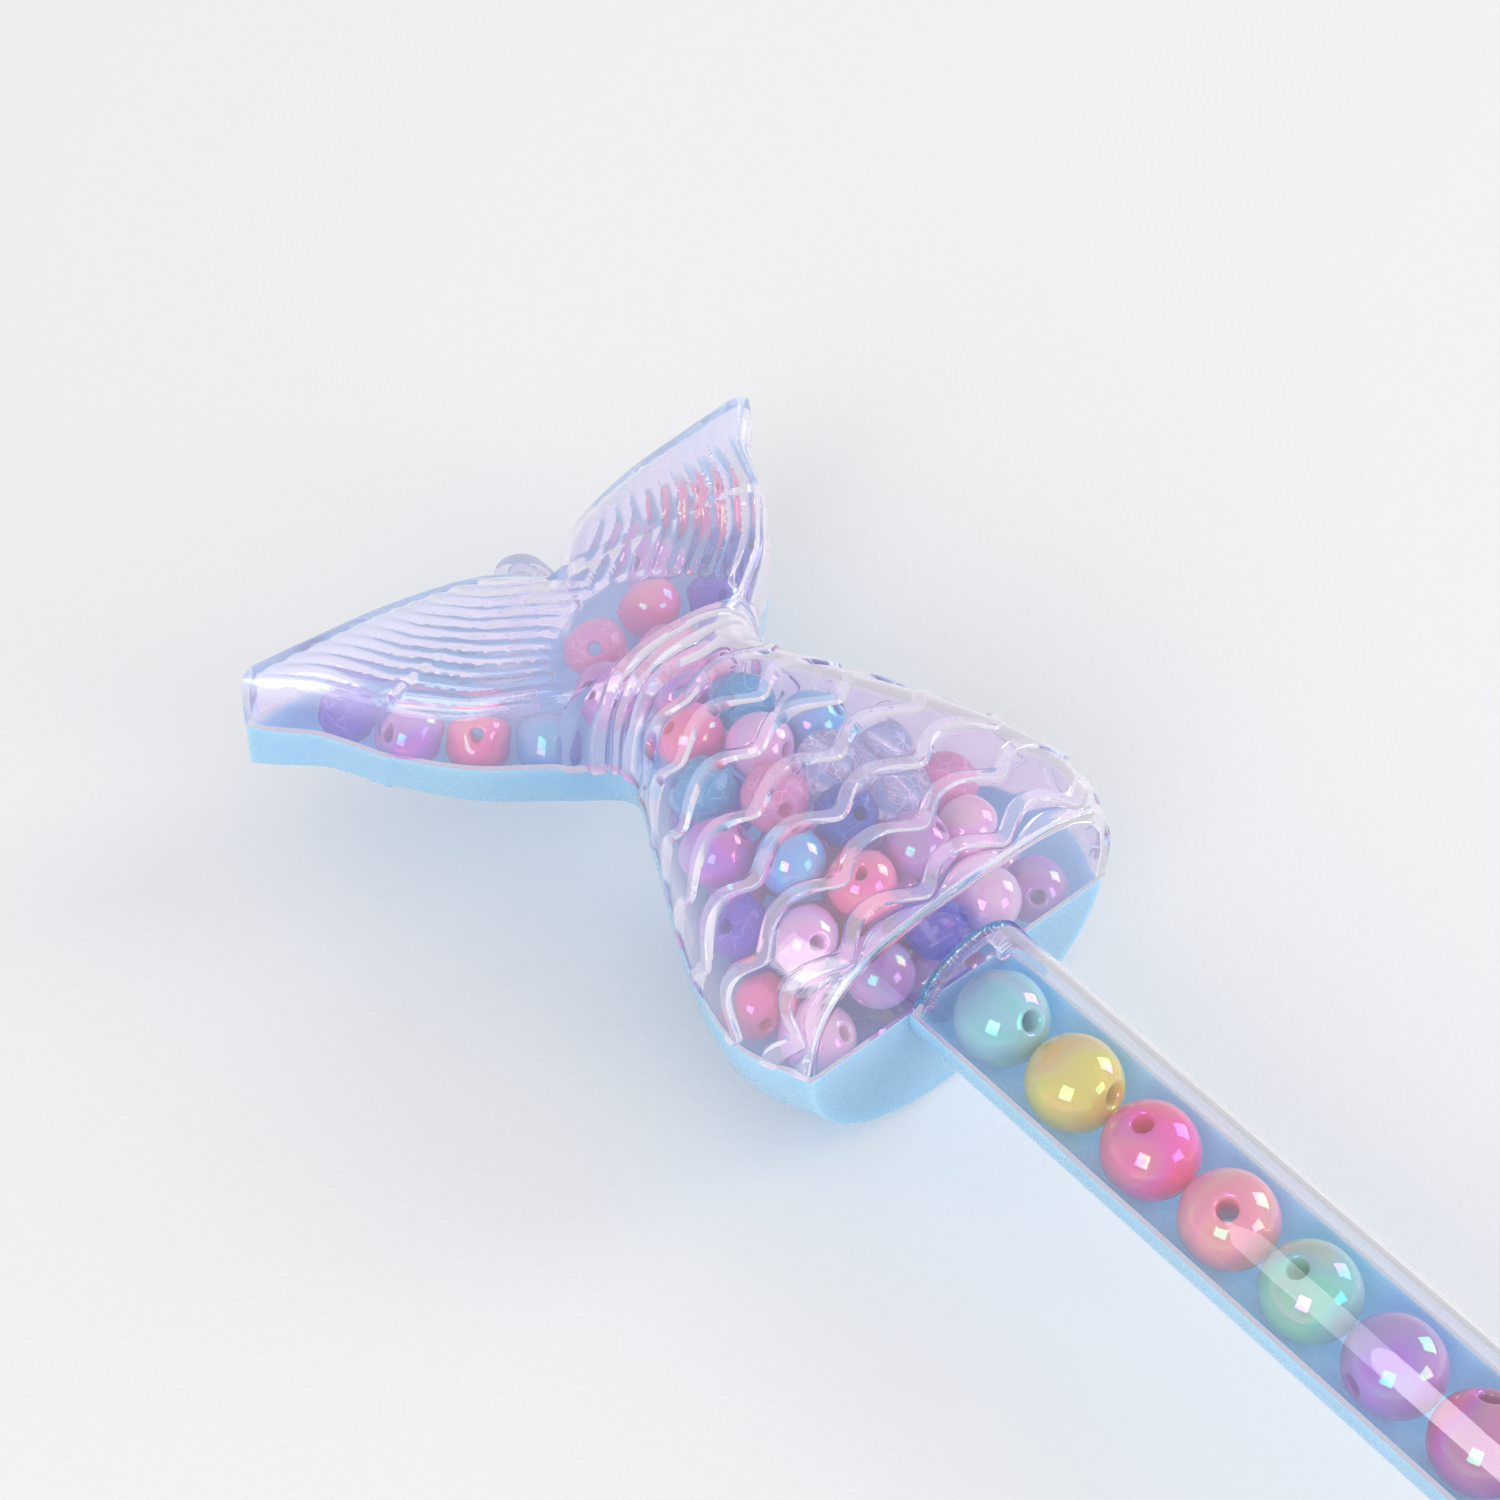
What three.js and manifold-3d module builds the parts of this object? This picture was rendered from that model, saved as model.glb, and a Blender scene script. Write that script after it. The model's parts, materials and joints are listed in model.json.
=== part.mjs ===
// A mermaid-tail rainstick wand: a blue moulded lower shell, two clear covers and the loose
// beads that rattle inside them. Millimetres. X runs from the tail flukes to the handle's end,
// Y across the flukes, Z up. Everything is drawn about the tail's flat front face, which stands
// at x = 0, with the seam between shell and covers at z = 0, and moved to its frame at the end.
import * as THREE from 'three';
import { mergeVertices } from 'three/addons/utils/BufferGeometryUtils.js';
import Module from 'manifold-3d';

const wasm = await Module();
wasm.setup();
const { Manifold } = wasm;

// ---- Driving sizes -------------------------------------------------------------------------
const WALL = 1.6;
const GAP = 0.3; // between neighbouring mouldings
const CUT = 0.5; // how far a cavity runs past the face that it opens through

const HANDLE_RADIUS = 10.4;
const HANDLE_LENGTH = 184;
const HANDLE_SIDES = 28;
const WEB_THICKNESS = 1.2;
const WEB_RADIUS = 6.4; // inner radius of the arched web at the tail end of the handle

const HANDLE_BEAD_RADIUS = 7;
const HANDLE_BEAD_PITCH = 14.35;
const FIRST_HANDLE_BEAD_X = 8.1;
const TAIL_BEAD_RADIUS = 5;
const BEAD_HOLE = 0.21; // hole radius over bead radius
const REST_GAP = 0.12; // between a bead at rest and the floor under it
const BEAD_TURN = [1.9, 0, 2.4]; // radians that each bead is turned past the last
const WELD = 1e-4;

const EYELET = { x: -99, radius: 4.2, hole: 1.9, top: 3.4 };

// The tail is lofted across these stations, from the front face to a fluke's tip. `inner` runs
// down the centreline to the notch and then out along the trailing edge, `edge` down the side
// and out along the leading edge; `top` and `bottom` are the heights above and below the seam.
const BODY = [
  { inner: [0, 0], edge: [0, 28.4], top: 21.5, bottom: 25 },
  { inner: [-11, 0], edge: [-11, 32.6], top: 22.5, bottom: 25.5 },
  { inner: [-24.5, 0], edge: [-24.5, 29.2], top: 22.5, bottom: 24.5 },
  { inner: [-45, 0], edge: [-45, 18.5], top: 20.5, bottom: 19 },
  { inner: [-59, 0], edge: [-59, 12], top: 18.5, bottom: 14.5 },
  { inner: [-68, 0], edge: [-66, 19.5], top: 15.5, bottom: 12 },
  { inner: [-77, 0], edge: [-74, 29.7], top: 13.5, bottom: 10.5 },
  { inner: [-90, 0], edge: [-84.5, 38.2], top: 12, bottom: 9.5 },
];
const FLUKE = [
  { inner: [-90, 0], edge: [-84.5, 38.2], top: 12, bottom: 9.5 },
  { inner: [-97.3, 7.7], edge: [-90, 40.8], top: 11, bottom: 9.2 },
  { inner: [-101.6, 21.7], edge: [-94, 43.2], top: 10.3, bottom: 9 },
  { inner: [-103.3, 36], edge: [-98.7, 47.7], top: 9.8, bottom: 9 },
  { inner: [-104, 46.5], edge: [-102, 50], top: 9.5, bottom: 9 },
];
const BODY_STEPS = 16;
const FLUKE_STEPS = 9;
const ACROSS_STEPS = 8;
const NOTCH_STEP = 0.985; // last body station before the notch, as a share of the body
const TIP_STEP = 0.94; // where a fluke's cavity ends, as a share of the fluke

// How square the cross-section is: a superellipse exponent, from the front face to the flukes.
const SQUARENESS = { top: [3.2, 6], bottom: [2, 6] };

// ---- Finishes ------------------------------------------------------------------------------
const finish = (color, roughness, opacity = 1) =>
  new THREE.MeshStandardMaterial({
    color,
    roughness,
    metalness: 0,
    opacity,
    transparent: opacity < 1,
  });

const FINISHES = {
  blue_shell: finish('#a9d2f3', 0.25),
  clear_cover: finish('#dcd6ee', 0.06, 0.3),
  aqua: finish('#8cc7d6', 0.15),
  yellow: finish('#e9cf6a', 0.15),
  hot_pink: finish('#ee6aa6', 0.15),
  salmon: finish('#f0a0a6', 0.15),
  mint: finish('#86c7bb', 0.15),
  lilac: finish('#c08fd0', 0.15),
  magenta: finish('#d06aa8', 0.15),
  pale_pink: finish('#eec3dd', 0.15),
  sky_blue: finish('#7fbfe2', 0.15),
  purple: finish('#8f7fd2', 0.12, 0.8),
  navy: finish('#3b62a8', 0.1, 0.75),
  teal: finish('#4aa8bb', 0.1, 0.75),
  mauve: finish('#c58fb8', 0.1, 0.75),
  clear_bead: finish('#d3d2e6', 0.08, 0.6),
};

// ---- Solids --------------------------------------------------------------------------------
function toSolid(geometry) {
  geometry.deleteAttribute('normal');
  geometry.deleteAttribute('uv');
  const merged = mergeVertices(geometry, WELD);
  const index = merged.index.array;
  const kept = [];
  for (let i = 0; i < index.length; i += 3) {
    const [a, b, c] = index.slice(i, i + 3);
    if (a !== b && b !== c && c !== a) kept.push(a, b, c);
  }
  const vertProperties = new Float32Array(merged.attributes.position.array);
  return new Manifold(new wasm.Mesh({ numProp: 3, vertProperties, triVerts: new Uint32Array(kept) }));
}

function toGeometry(solid) {
  const mesh = solid.getMesh();
  const geometry = new THREE.BufferGeometry();
  geometry.setAttribute('position', new THREE.BufferAttribute(mesh.vertProperties, 3));
  geometry.setIndex(new THREE.BufferAttribute(mesh.triVerts, 1));
  const flat = geometry.toNonIndexed();
  flat.computeVertexNormals();
  return flat;
}

// ---- Tail loft -----------------------------------------------------------------------------
const spline = (rows, pick) =>
  new THREE.CatmullRomCurve3(rows.map((row) => new THREE.Vector3(...pick(row))), false, 'catmullrom');

function splines(rows) {
  return {
    inner: spline(rows, (row) => [...row.inner, 0]),
    edge: spline(rows, (row) => [...row.edge, 0]),
    height: spline(rows, (row) => [row.top, row.bottom, 0]),
  };
}

const bodySplines = splines(BODY);
const flukeSplines = splines(FLUKE);

// One station: where it starts and ends in plan, its heights, and how square it is.
function station(curves, share, isFluke, inset) {
  const inner = curves.inner.getPoint(share);
  const edge = curves.edge.getPoint(share);
  const height = curves.height.getPoint(share);
  const alongEdge = curves.edge.getTangent(share);
  edge.x -= inset * alongEdge.y;
  edge.y += inset * alongEdge.x;
  if (isFluke) {
    const alongInner = curves.inner.getTangent(share);
    const reach = share === 0 ? inset / alongInner.y : inset;
    inner.x += share === 0 ? reach : reach * alongInner.y;
    inner.y -= share === 0 ? 0 : reach * alongInner.x;
  }
  const square = isFluke ? 1 : THREE.MathUtils.smoothstep(share, 0.5, 1);
  return {
    inner,
    edge,
    isFluke,
    rise: { top: height.x - inset, bottom: height.y - inset },
    power: {
      top: THREE.MathUtils.lerp(...SQUARENESS.top, square),
      bottom: THREE.MathUtils.lerp(...SQUARENESS.bottom, square),
    },
  };
}

function stations(inset) {
  const list = [];
  for (let i = 0; i < BODY_STEPS; i++) {
    list.push(station(bodySplines, (i / BODY_STEPS) * NOTCH_STEP, false, inset));
  }
  const lastBody = station(bodySplines, NOTCH_STEP, false, inset);
  const notch = station(flukeSplines, 0, true, inset);
  lastBody.inner.x = notch.inner.x + CUT;
  list.push(lastBody, notch);
  const end = inset > 0 ? TIP_STEP : 1;
  for (let i = 1; i <= FLUKE_STEPS; i++) {
    list.push(station(flukeSplines, (i / FLUKE_STEPS) * end, true, inset));
  }
  list[0].inner.x = -inset;
  list[0].edge.x = -inset;
  return list.filter((row, i) => i === 0 || row.isFluke || row.inner.x < -inset - CUT);
}

// Height above the base at a share `across` the station, from its inner end to its edge.
function rise(row, across, side) {
  const fromMiddle = row.isFluke ? Math.abs(2 * across - 1) : across;
  const power = row.power[side];
  return row.rise[side] * Math.max(0, 1 - fromMiddle ** power) ** (1 / power);
}

// A closed solid of the tail on one side of the seam, standing on a flat base.
function tailHalf(side, inset) {
  const sign = side === 'top' ? 1 : -1;
  const below = inset > 0 ? CUT : 0;
  const baseZ = sign * (GAP / 2 - below);
  const rows = stations(inset);
  const share = (j) => (1 - Math.cos((Math.PI * j) / ACROSS_STEPS)) / 2;
  const place = (row, j, mirror, lifted) => {
    const point = row.inner.clone().lerp(row.edge, share(j));
    const height = lifted ? rise(row, share(j), side) : 0;
    return [point.x, point.y * mirror, baseZ + sign * (height > 0 ? height + below : 0)];
  };
  const base = rows.map((row) => [row, false]);
  const skin = rows.map((row) => [row, true]);
  skin.unshift([rows[0], false]);
  skin[skin.length - 1] = base[base.length - 1];

  const positions = [];
  for (const [grid, isBase] of [[base, true], [skin, false]]) {
    for (const mirror of [1, -1]) {
      for (let i = 0; i + 1 < grid.length; i++) {
        for (let j = 0; j < ACROSS_STEPS; j++) {
          const a = place(grid[i][0], j, mirror, grid[i][1]);
          const b = place(grid[i][0], j + 1, mirror, grid[i][1]);
          const c = place(grid[i + 1][0], j + 1, mirror, grid[i + 1][1]);
          const d = place(grid[i + 1][0], j, mirror, grid[i + 1][1]);
          const turned = isBase !== (mirror * sign > 0);
          const corners = turned ? [a, b, c, a, c, d] : [a, c, b, a, d, c];
          positions.push(...corners.flat());
        }
      }
    }
  }
  const geometry = new THREE.BufferGeometry();
  geometry.setAttribute('position', new THREE.Float32BufferAttribute(positions, 3));
  return toSolid(geometry);
}

// ---- Shells --------------------------------------------------------------------------------
const halfSpace = (side) => {
  const sign = side === 'top' ? 1 : -1;
  const size = 4 * HANDLE_LENGTH;
  return Manifold.cube([size, size, size], true).translate([0, 0, sign * (size + GAP) / 2]);
};

// A round bar along X with a domed end.
function bar(radius, fromX, toX) {
  const profile = new THREE.Path()
    .moveTo(0, fromX)
    .lineTo(radius, fromX)
    .lineTo(radius, toX - radius)
    .absarc(0, toX - radius, radius, 0, Math.PI / 2, false);
  const points = profile.getPoints(HANDLE_SIDES / 4);
  const geometry = new THREE.LatheGeometry(points, HANDLE_SIDES);
  geometry.rotateZ(-Math.PI / 2);
  return toSolid(geometry);
}

function lowerShell() {
  const tray = tailHalf('bottom', 0).subtract(tailHalf('bottom', WALL));
  const trough = bar(HANDLE_RADIUS, -WALL / 2, HANDLE_LENGTH)
    .intersect(halfSpace('bottom'));
  const channel = bar(HANDLE_RADIUS - WALL, 0, HANDLE_LENGTH - WALL);
  return tray.add(trough).subtract(channel);
}

function tailCover() {
  const dome = tailHalf('top', 0).subtract(tailHalf('top', WALL));
  const outline = new THREE.Shape()
    .moveTo(EYELET.x + 2 * EYELET.radius, -EYELET.radius)
    .lineTo(EYELET.x + 2 * EYELET.radius, EYELET.radius)
    .lineTo(EYELET.x, EYELET.radius)
    .absarc(EYELET.x, 0, EYELET.radius, Math.PI / 2, 1.5 * Math.PI, false);
  outline.holes.push(new THREE.Path().absarc(EYELET.x, 0, EYELET.hole, 0, 2 * Math.PI, true));
  const lug = new THREE.ExtrudeGeometry(outline, {
    depth: EYELET.top - GAP / 2,
    bevelEnabled: false,
    curveSegments: 12,
  });
  lug.translate(0, 0, GAP / 2);
  return dome.add(toSolid(lug).subtract(tailHalf('top', WALL)));
}

function handleCover() {
  const skin = bar(HANDLE_RADIUS, GAP, HANDLE_LENGTH)
    .subtract(bar(HANDLE_RADIUS - WALL, GAP + WEB_THICKNESS, HANDLE_LENGTH - WALL))
    .subtract(bar(WEB_RADIUS, -GAP, HANDLE_LENGTH / 2));
  return skin.intersect(halfSpace('top'));
}

// ---- Beads ---------------------------------------------------------------------------------
// A ball with a hole through it. Its profile closes on itself.
function bead(radius, sides, arcSteps) {
  const hole = radius * BEAD_HOLE;
  const start = Math.asin(BEAD_HOLE);
  const points = [];
  for (let i = 0; i <= arcSteps; i++) {
    const angle = start + ((Math.PI - 2 * start) * i) / arcSteps;
    points.push(new THREE.Vector2(Math.max(hole, radius * Math.sin(angle)), -radius * Math.cos(angle)));
  }
  points.push(points[0].clone());
  return new THREE.LatheGeometry(points, sides);
}

// Colour of each handle bead, from the tail to the handle's end.
const HANDLE_BEADS = [
  'aqua', 'yellow', 'hot_pink', 'salmon', 'mint',
  'lilac', 'magenta', 'aqua', 'yellow', 'pale_pink',
];

// The top layer of the pile in the tail: each row's place along X, height, spread and colours,
// from the low-Y side to the high-Y side. Outer beads sit lower, under the arch of the cover.
const PILE_ROWS = [
  { x: -7.3, z: 5, pitch: 10.5, colors: ['pale_pink', 'lilac', 'purple', 'pale_pink', 'lilac'] },
  { x: -16.3, z: 9.5, pitch: 10.5, colors: ['pale_pink', 'hot_pink', 'lilac', 'pale_pink'] },
  { x: -25.4, z: 11, pitch: 10.3, colors: ['purple', 'sky_blue', 'navy', 'clear_bead', 'mauve'] },
  { x: -34.5, z: 11, pitch: 10.5, colors: ['lilac', 'mauve', 'clear_bead', 'clear_bead'] },
  { x: -43.6, z: 10, pitch: 10.5, colors: ['teal', 'pale_pink', 'sky_blue'] },
  { x: -52.7, z: 8.5, pitch: 10.5, colors: ['hot_pink', 'teal'] },
  { x: -61.8, z: 6.5, pitch: 10.5, colors: ['lilac'] },
  { x: -70.7, z: 3.5, pitch: 11.6, colors: ['lilac', 'mauve'] },
  { x: -80.8, z: 0.5, pitch: 10.5, colors: ['mauve'] },
];
const ARCH_DROP = 0.018; // how much lower a bead sits per square millimetre from the centreline

// Beads on the floor of each fluke: four along the leading edge, then two nearer the notch. The
// third value is how far a bead rides up the rounded foot of the wall beside it.
const FLUKE_PLACES = [
  [-72.6, 15.9, 0], [-79.6, 23.7, 0], [-86.7, 31.1, 0.7],
  [-96.3, 34.8, 0.7], [-93.3, 20.6, 0], [-85, 14.2, 0],
];
const FLUKE_BEADS = {
  left: ['sky_blue', 'hot_pink', 'lilac', 'purple', 'teal', 'clear_bead'],
  right: ['pale_pink', 'purple', 'navy', 'hot_pink', 'lilac', 'hot_pink'],
};
const FLUKE_FLOOR = WALL - FLUKE[FLUKE.length - 1].bottom;

function beadMesh(name, geometry, color, x, y, z, turn) {
  const mesh = new THREE.Mesh(geometry, FINISHES[color]);
  mesh.name = name;
  mesh.position.set(x, y, z);
  mesh.rotation.set(...BEAD_TURN.map((angle) => angle * turn));
  return mesh;
}

function handleBeads() {
  const geometry = bead(HANDLE_BEAD_RADIUS, 12, 7);
  const z = REST_GAP + HANDLE_BEAD_RADIUS - (HANDLE_RADIUS - WALL);
  return HANDLE_BEADS.map((color, i) => {
    const x = FIRST_HANDLE_BEAD_X + i * HANDLE_BEAD_PITCH;
    return beadMesh(`handle_bead_${i + 1}`, geometry, color, x, 0, z, i + 1);
  });
}

function tailBeads() {
  const geometry = bead(TAIL_BEAD_RADIUS, 10, 6);
  const meshes = [];
  const add = (color, x, y, z) => {
    const number = meshes.length + 1;
    meshes.push(beadMesh(`tail_bead_${number}`, geometry, color, x, y, z, number));
  };
  for (const row of PILE_ROWS) {
    row.colors.forEach((color, i) => {
      const y = (i - (row.colors.length - 1) / 2) * row.pitch;
      add(color, row.x, y, row.z - ARCH_DROP * y * y);
    });
  }
  for (const [side, mirror] of [['left', -1], ['right', 1]]) {
    FLUKE_PLACES.forEach(([x, y, lift], i) => {
      const z = FLUKE_FLOOR + TAIL_BEAD_RADIUS + REST_GAP + lift;
      add(FLUKE_BEADS[side][i], x, mirror * y, z);
    });
  }
  return meshes;
}

// ---- The wand ------------------------------------------------------------------------------
function shellMesh(name, solid, color) {
  const mesh = new THREE.Mesh(toGeometry(solid), FINISHES[color]);
  mesh.name = name;
  return mesh;
}

const wand = new THREE.Group();
wand.add(
  shellMesh('lower_shell', lowerShell(), 'blue_shell'),
  shellMesh('tail_cover', tailCover(), 'clear_cover'),
  shellMesh('handle_cover', handleCover(), 'clear_cover'),
  ...handleBeads(),
  ...tailBeads(),
);

// The frame's origin is under the middle of the wand, at the height of its lowest point.
const box = new THREE.Box3().setFromObject(wand);
wand.position.set(-(box.min.x + box.max.x) / 2, 0, -box.min.z);

export default wand;
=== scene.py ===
"""The look of the mermaid-tail rainstick wand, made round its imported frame."""

import json
import math
import random

import bpy
import bmesh
import numpy as np
from mathutils import Matrix, Vector
from mathutils.kdtree import KDTree


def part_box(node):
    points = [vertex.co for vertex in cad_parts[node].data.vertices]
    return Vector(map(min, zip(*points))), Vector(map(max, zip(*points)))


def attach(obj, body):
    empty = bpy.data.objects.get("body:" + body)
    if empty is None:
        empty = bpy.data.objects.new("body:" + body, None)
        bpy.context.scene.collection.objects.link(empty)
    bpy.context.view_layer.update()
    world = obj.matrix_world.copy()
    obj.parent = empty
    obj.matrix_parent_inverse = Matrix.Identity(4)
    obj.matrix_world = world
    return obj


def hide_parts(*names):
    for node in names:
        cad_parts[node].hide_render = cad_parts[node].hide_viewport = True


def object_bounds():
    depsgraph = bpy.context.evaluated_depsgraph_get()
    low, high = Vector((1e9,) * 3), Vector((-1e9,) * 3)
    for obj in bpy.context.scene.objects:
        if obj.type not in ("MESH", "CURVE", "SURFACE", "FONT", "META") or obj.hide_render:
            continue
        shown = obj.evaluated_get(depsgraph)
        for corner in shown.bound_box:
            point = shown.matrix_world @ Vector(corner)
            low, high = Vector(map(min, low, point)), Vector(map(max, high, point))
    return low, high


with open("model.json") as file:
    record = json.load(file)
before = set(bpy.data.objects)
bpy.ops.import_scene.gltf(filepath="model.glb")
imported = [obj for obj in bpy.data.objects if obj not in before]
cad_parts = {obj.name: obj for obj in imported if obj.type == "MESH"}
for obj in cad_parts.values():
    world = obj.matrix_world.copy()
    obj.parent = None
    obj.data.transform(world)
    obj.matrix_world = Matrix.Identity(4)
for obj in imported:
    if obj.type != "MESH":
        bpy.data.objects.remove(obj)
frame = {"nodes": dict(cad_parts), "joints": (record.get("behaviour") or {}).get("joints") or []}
cad_low, cad_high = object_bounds()

# ---- Sizes, mm, about the middle of the tail's flat front face, at the seam ----------------
MM = 0.001
FRONT_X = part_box("tail_cover")[1].x
SEAM_Z = (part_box("lower_shell")[1].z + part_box("tail_cover")[0].z) / 2
ORIGIN = Vector((FRONT_X, 0, SEAM_Z))

WALL = 1.6
HALF_GAP = 0.15
HANDLE_RADIUS = 10.4
HANDLE_LENGTH = (cad_high.x - FRONT_X) / MM
HANDLE_BEAD_RADIUS = 7.0
TAIL_BEAD_RADIUS = 5.0
BEAD_HOLE = 0.21
WEB = {"radius": 6.4, "thickness": 1.2}
# The torn place on the web's edge: how deep, at what angle round it and how wide, and the
# roughness of the rest.
TORN = {"depth": 0.9, "at": 1.15, "width": 0.16, "rough": 0.35}
EYELET = {"x": -99.0, "radius": 4.2, "hole": 1.9, "top": 3.4, "length": 8.9}

# The tail's stations, from the front face to a fluke's tip: inner x, y, edge x, y, height above
# the seam and depth below it.
BODY = np.array([
    [0, 0, 0, 28.4, 21.5, 25],
    [-11, 0, -11, 32.6, 22.5, 25.5],
    [-24.5, 0, -24.5, 29.2, 22.5, 24.5],
    [-45, 0, -45, 18.5, 20.5, 19],
    [-59, 0, -59, 12, 18.5, 14.5],
    [-68, 0, -66, 19.5, 15.5, 12],
    [-77, 0, -74, 29.7, 13.5, 10.5],
    [-90, 0, -84.5, 38.2, 12, 9.5],
])
FLUKE = np.array([
    [-90, 0, -84.5, 38.2, 12, 9.5],
    [-97.3, 7.7, -90, 40.8, 11, 9.2],
    [-101.6, 21.7, -94, 43.2, 10.3, 9],
    [-103.3, 36, -98.7, 47.7, 9.8, 9],
    [-104, 46.5, -102, 50, 9.5, 9],
])
# How square the cross-section is over the body and over the flukes: 2 is an ellipse.
SQUARENESS = {"top": (3.2, 6.0), "bottom": (2.0, 6.0)}
TIP_SHARE = 0.94  # where the inner wall stops, as a share of the way to a fluke's tip
NOTCH_BLEND = 0.12  # share of the fluke over which the inner wall turns round the notch
BODY_END = -88.0
FILLET = 0.4

# Mesh density: stations in a table, points across, rows along, and the steps between rows.
STATIONS = 1200
ACROSS = 132
FLUKE_ROWS = 84
FILLET_ROWS = 8
ROW_STEP = 0.7
LEAST_STEP = 0.08
OUTLINE_STEPS = 120

# Scale ribs on the cover: each a scalloped line, half a scallop out of step with the next.
RIBS = [-4.6, -13.2, -21.8, -30.2, -38.4, -46.2, -52.6]
RINGS = [-57.6, -60.6, -63.6]
SCALLOP = {"width": 15.0, "depth": 4.0, "rounding": 0.28, "middle": 0.55}
# Share of the scallops' depth at the front, each rib, each ring, the collar and behind it.
WAVES = [0.0] + [1.0] * (len(RIBS) - 1) + [0.6, 0.22, 0.14, 0.06, 0, 0]
RIB_STEPS = [-1.35, -1.2, -1.05, -0.92, -0.78, -0.4, 0, 0.4, 0.78, 0.92, 1.05, 1.2, 1.35]
RIB_HEIGHTS = [0, 0.07, 0.45, 0.88, 1, 1, 1, 1, 1, 0.88, 0.45, 0.07, 0]
RIB_HEIGHT = 0.55
RING_HEIGHT = 0.75
LIP_STEPS = [-2.5, -2.3, -2.1, -1.9, -1.7]
COLLAR_X = -64.8
COLLAR_FOOT = COLLAR_X - 1.4
# The body stands proud of the flukes' root, rising from one place along X to another.
SKIRT = {"height": 1.1, "none": -53, "full": -63.5}
# The flukes' tops sink between these places along X, away from the seam.
ROOT = {"depth": 0.75, "x": (-86, -76), "up": (4, 10)}
FLUTE = {"pitch": 2.45, "height": 0.5, "start_x": -63.5, "start_radius": 17.5,
         "sharpness": 0.75, "up": (4.5, 8.5), "root": (0, 1.2), "trail": (0.8, 7),
         "lead": (0.6, 1.8), "last_x": -58, "lead_start": 0.55}


# ---- Small tools ---------------------------------------------------------------------------
def smoothstep(low, high, value):
    share = np.clip((value - low) / (high - low), 0, 1)
    return share * share * (3 - 2 * share)


def mesh_piece(name, points, faces, material, smooth_angle=35, weld=0.004, raised=None):
    """A mesh object from points in mm about the tail's front face, welded and shaded smooth."""
    mesh = bpy.data.meshes.new(name)
    row = np.asarray(points, dtype=float) * MM + np.array(ORIGIN)
    mesh.from_pydata(row.tolist(), [], [list(face) for face in faces])
    if raised is not None:
        mesh.attributes.new("raised", "FLOAT", "POINT").data.foreach_set("value", raised)
    shape = bmesh.new()
    shape.from_mesh(mesh)
    bmesh.ops.remove_doubles(shape, verts=shape.verts, dist=weld * MM)
    bmesh.ops.dissolve_degenerate(shape, edges=shape.edges, dist=weld * MM / 4)
    bmesh.ops.recalc_face_normals(shape, faces=shape.faces)
    shape.to_mesh(mesh)
    shape.free()
    mesh.materials.append(material)
    mesh.shade_smooth()
    mesh.set_sharp_from_angle(angle=math.radians(smooth_angle))
    piece = bpy.data.objects.new(name, mesh)
    bpy.context.scene.collection.objects.link(piece)
    return piece


def grid_faces(rows, columns, first=0):
    """Quads of a grid of points numbered row by row."""
    corner = first + np.arange(rows - 1)[:, None] * columns + np.arange(columns - 1)
    corner = corner.ravel()
    return np.column_stack([corner, corner + 1, corner + columns + 1, corner + columns])


def spline(rows, share):
    """Catmull-Rom through rows, evenly timed, at each share of the way along."""
    padded = np.vstack([2 * rows[0] - rows[1], rows, 2 * rows[-1] - rows[-2]])
    place = np.clip(np.asarray(share, dtype=float), 0, 1) * (len(rows) - 1)
    step = np.minimum(place.astype(int), len(rows) - 2)
    t = (place - step)[:, None]
    a, b, c, d = (padded[step + k] for k in range(4))
    return b + 0.5 * t * (c - a + t * (2 * a - 5 * b + 4 * c - d + t * (3 * (b - c) + d - a)))


def heading(rows, share, columns):
    """Unit direction of the curve in two of its columns."""
    ahead = spline(rows, np.clip(share + 1e-3, 0, 1))[:, columns]
    behind = spline(rows, np.clip(share - 1e-3, 0, 1))[:, columns]
    way = ahead - behind
    return way / np.linalg.norm(way, axis=1)[:, None]


# ---- Tail surfaces -------------------------------------------------------------------------
def station_table(side, inset, fluke):
    """Fine table of stations: inner x, y, edge x, y, rise and squareness."""
    rows = FLUKE if fluke else BODY
    share = np.linspace(0, TIP_SHARE if fluke and inset else 1, STATIONS)
    fine = spline(rows, share)
    out = heading(rows, share, [2, 3])
    edge = fine[:, 2:4] + inset * np.column_stack([-out[:, 1], out[:, 0]])
    inner = fine[:, :2].copy()
    if fluke and inset:
        back = heading(rows, share, [0, 1])
        inner += inset * np.column_stack([back[:, 1], -back[:, 0]])
        start = np.array([fine[0, 0] + inset / back[0, 1], 0.0])
        blend = smoothstep(0, NOTCH_BLEND, share)[:, None]
        inner = start * (1 - blend) + inner * blend
    rise = fine[:, 4 if side == "top" else 5] - inset
    square = np.ones(len(share)) if fluke else smoothstep(0.5, 1, share)
    power = np.interp(square, [0, 1], SQUARENESS[side])
    return np.column_stack([inner, edge, rise, power])


def look_up(table, place):
    """Rows of a table at places from 0 to 1, for places of any shape."""
    flat = np.clip(np.ravel(place), 0, 1) * (len(table) - 1)
    low = np.minimum(flat.astype(int), len(table) - 2)
    part = (flat - low)[:, None]
    return (table[low] * (1 - part) + table[low + 1] * part).reshape(*np.shape(place), -1)


def skin(stations, across, sign, fluke):
    """Points of a tail surface for rows of a station table, at shares across them."""
    s = across[..., None]
    plan = stations[..., 0:2] * (1 - s) + stations[..., 2:4] * s
    middle = np.abs(2 * across - 1) if fluke else across
    power = stations[..., 5]
    rise = stations[..., 4] * np.clip(1 - middle ** power, 0, 1) ** (1 / power)
    return np.concatenate([plan, (sign * (HALF_GAP + rise))[..., None]], axis=-1)


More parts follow.
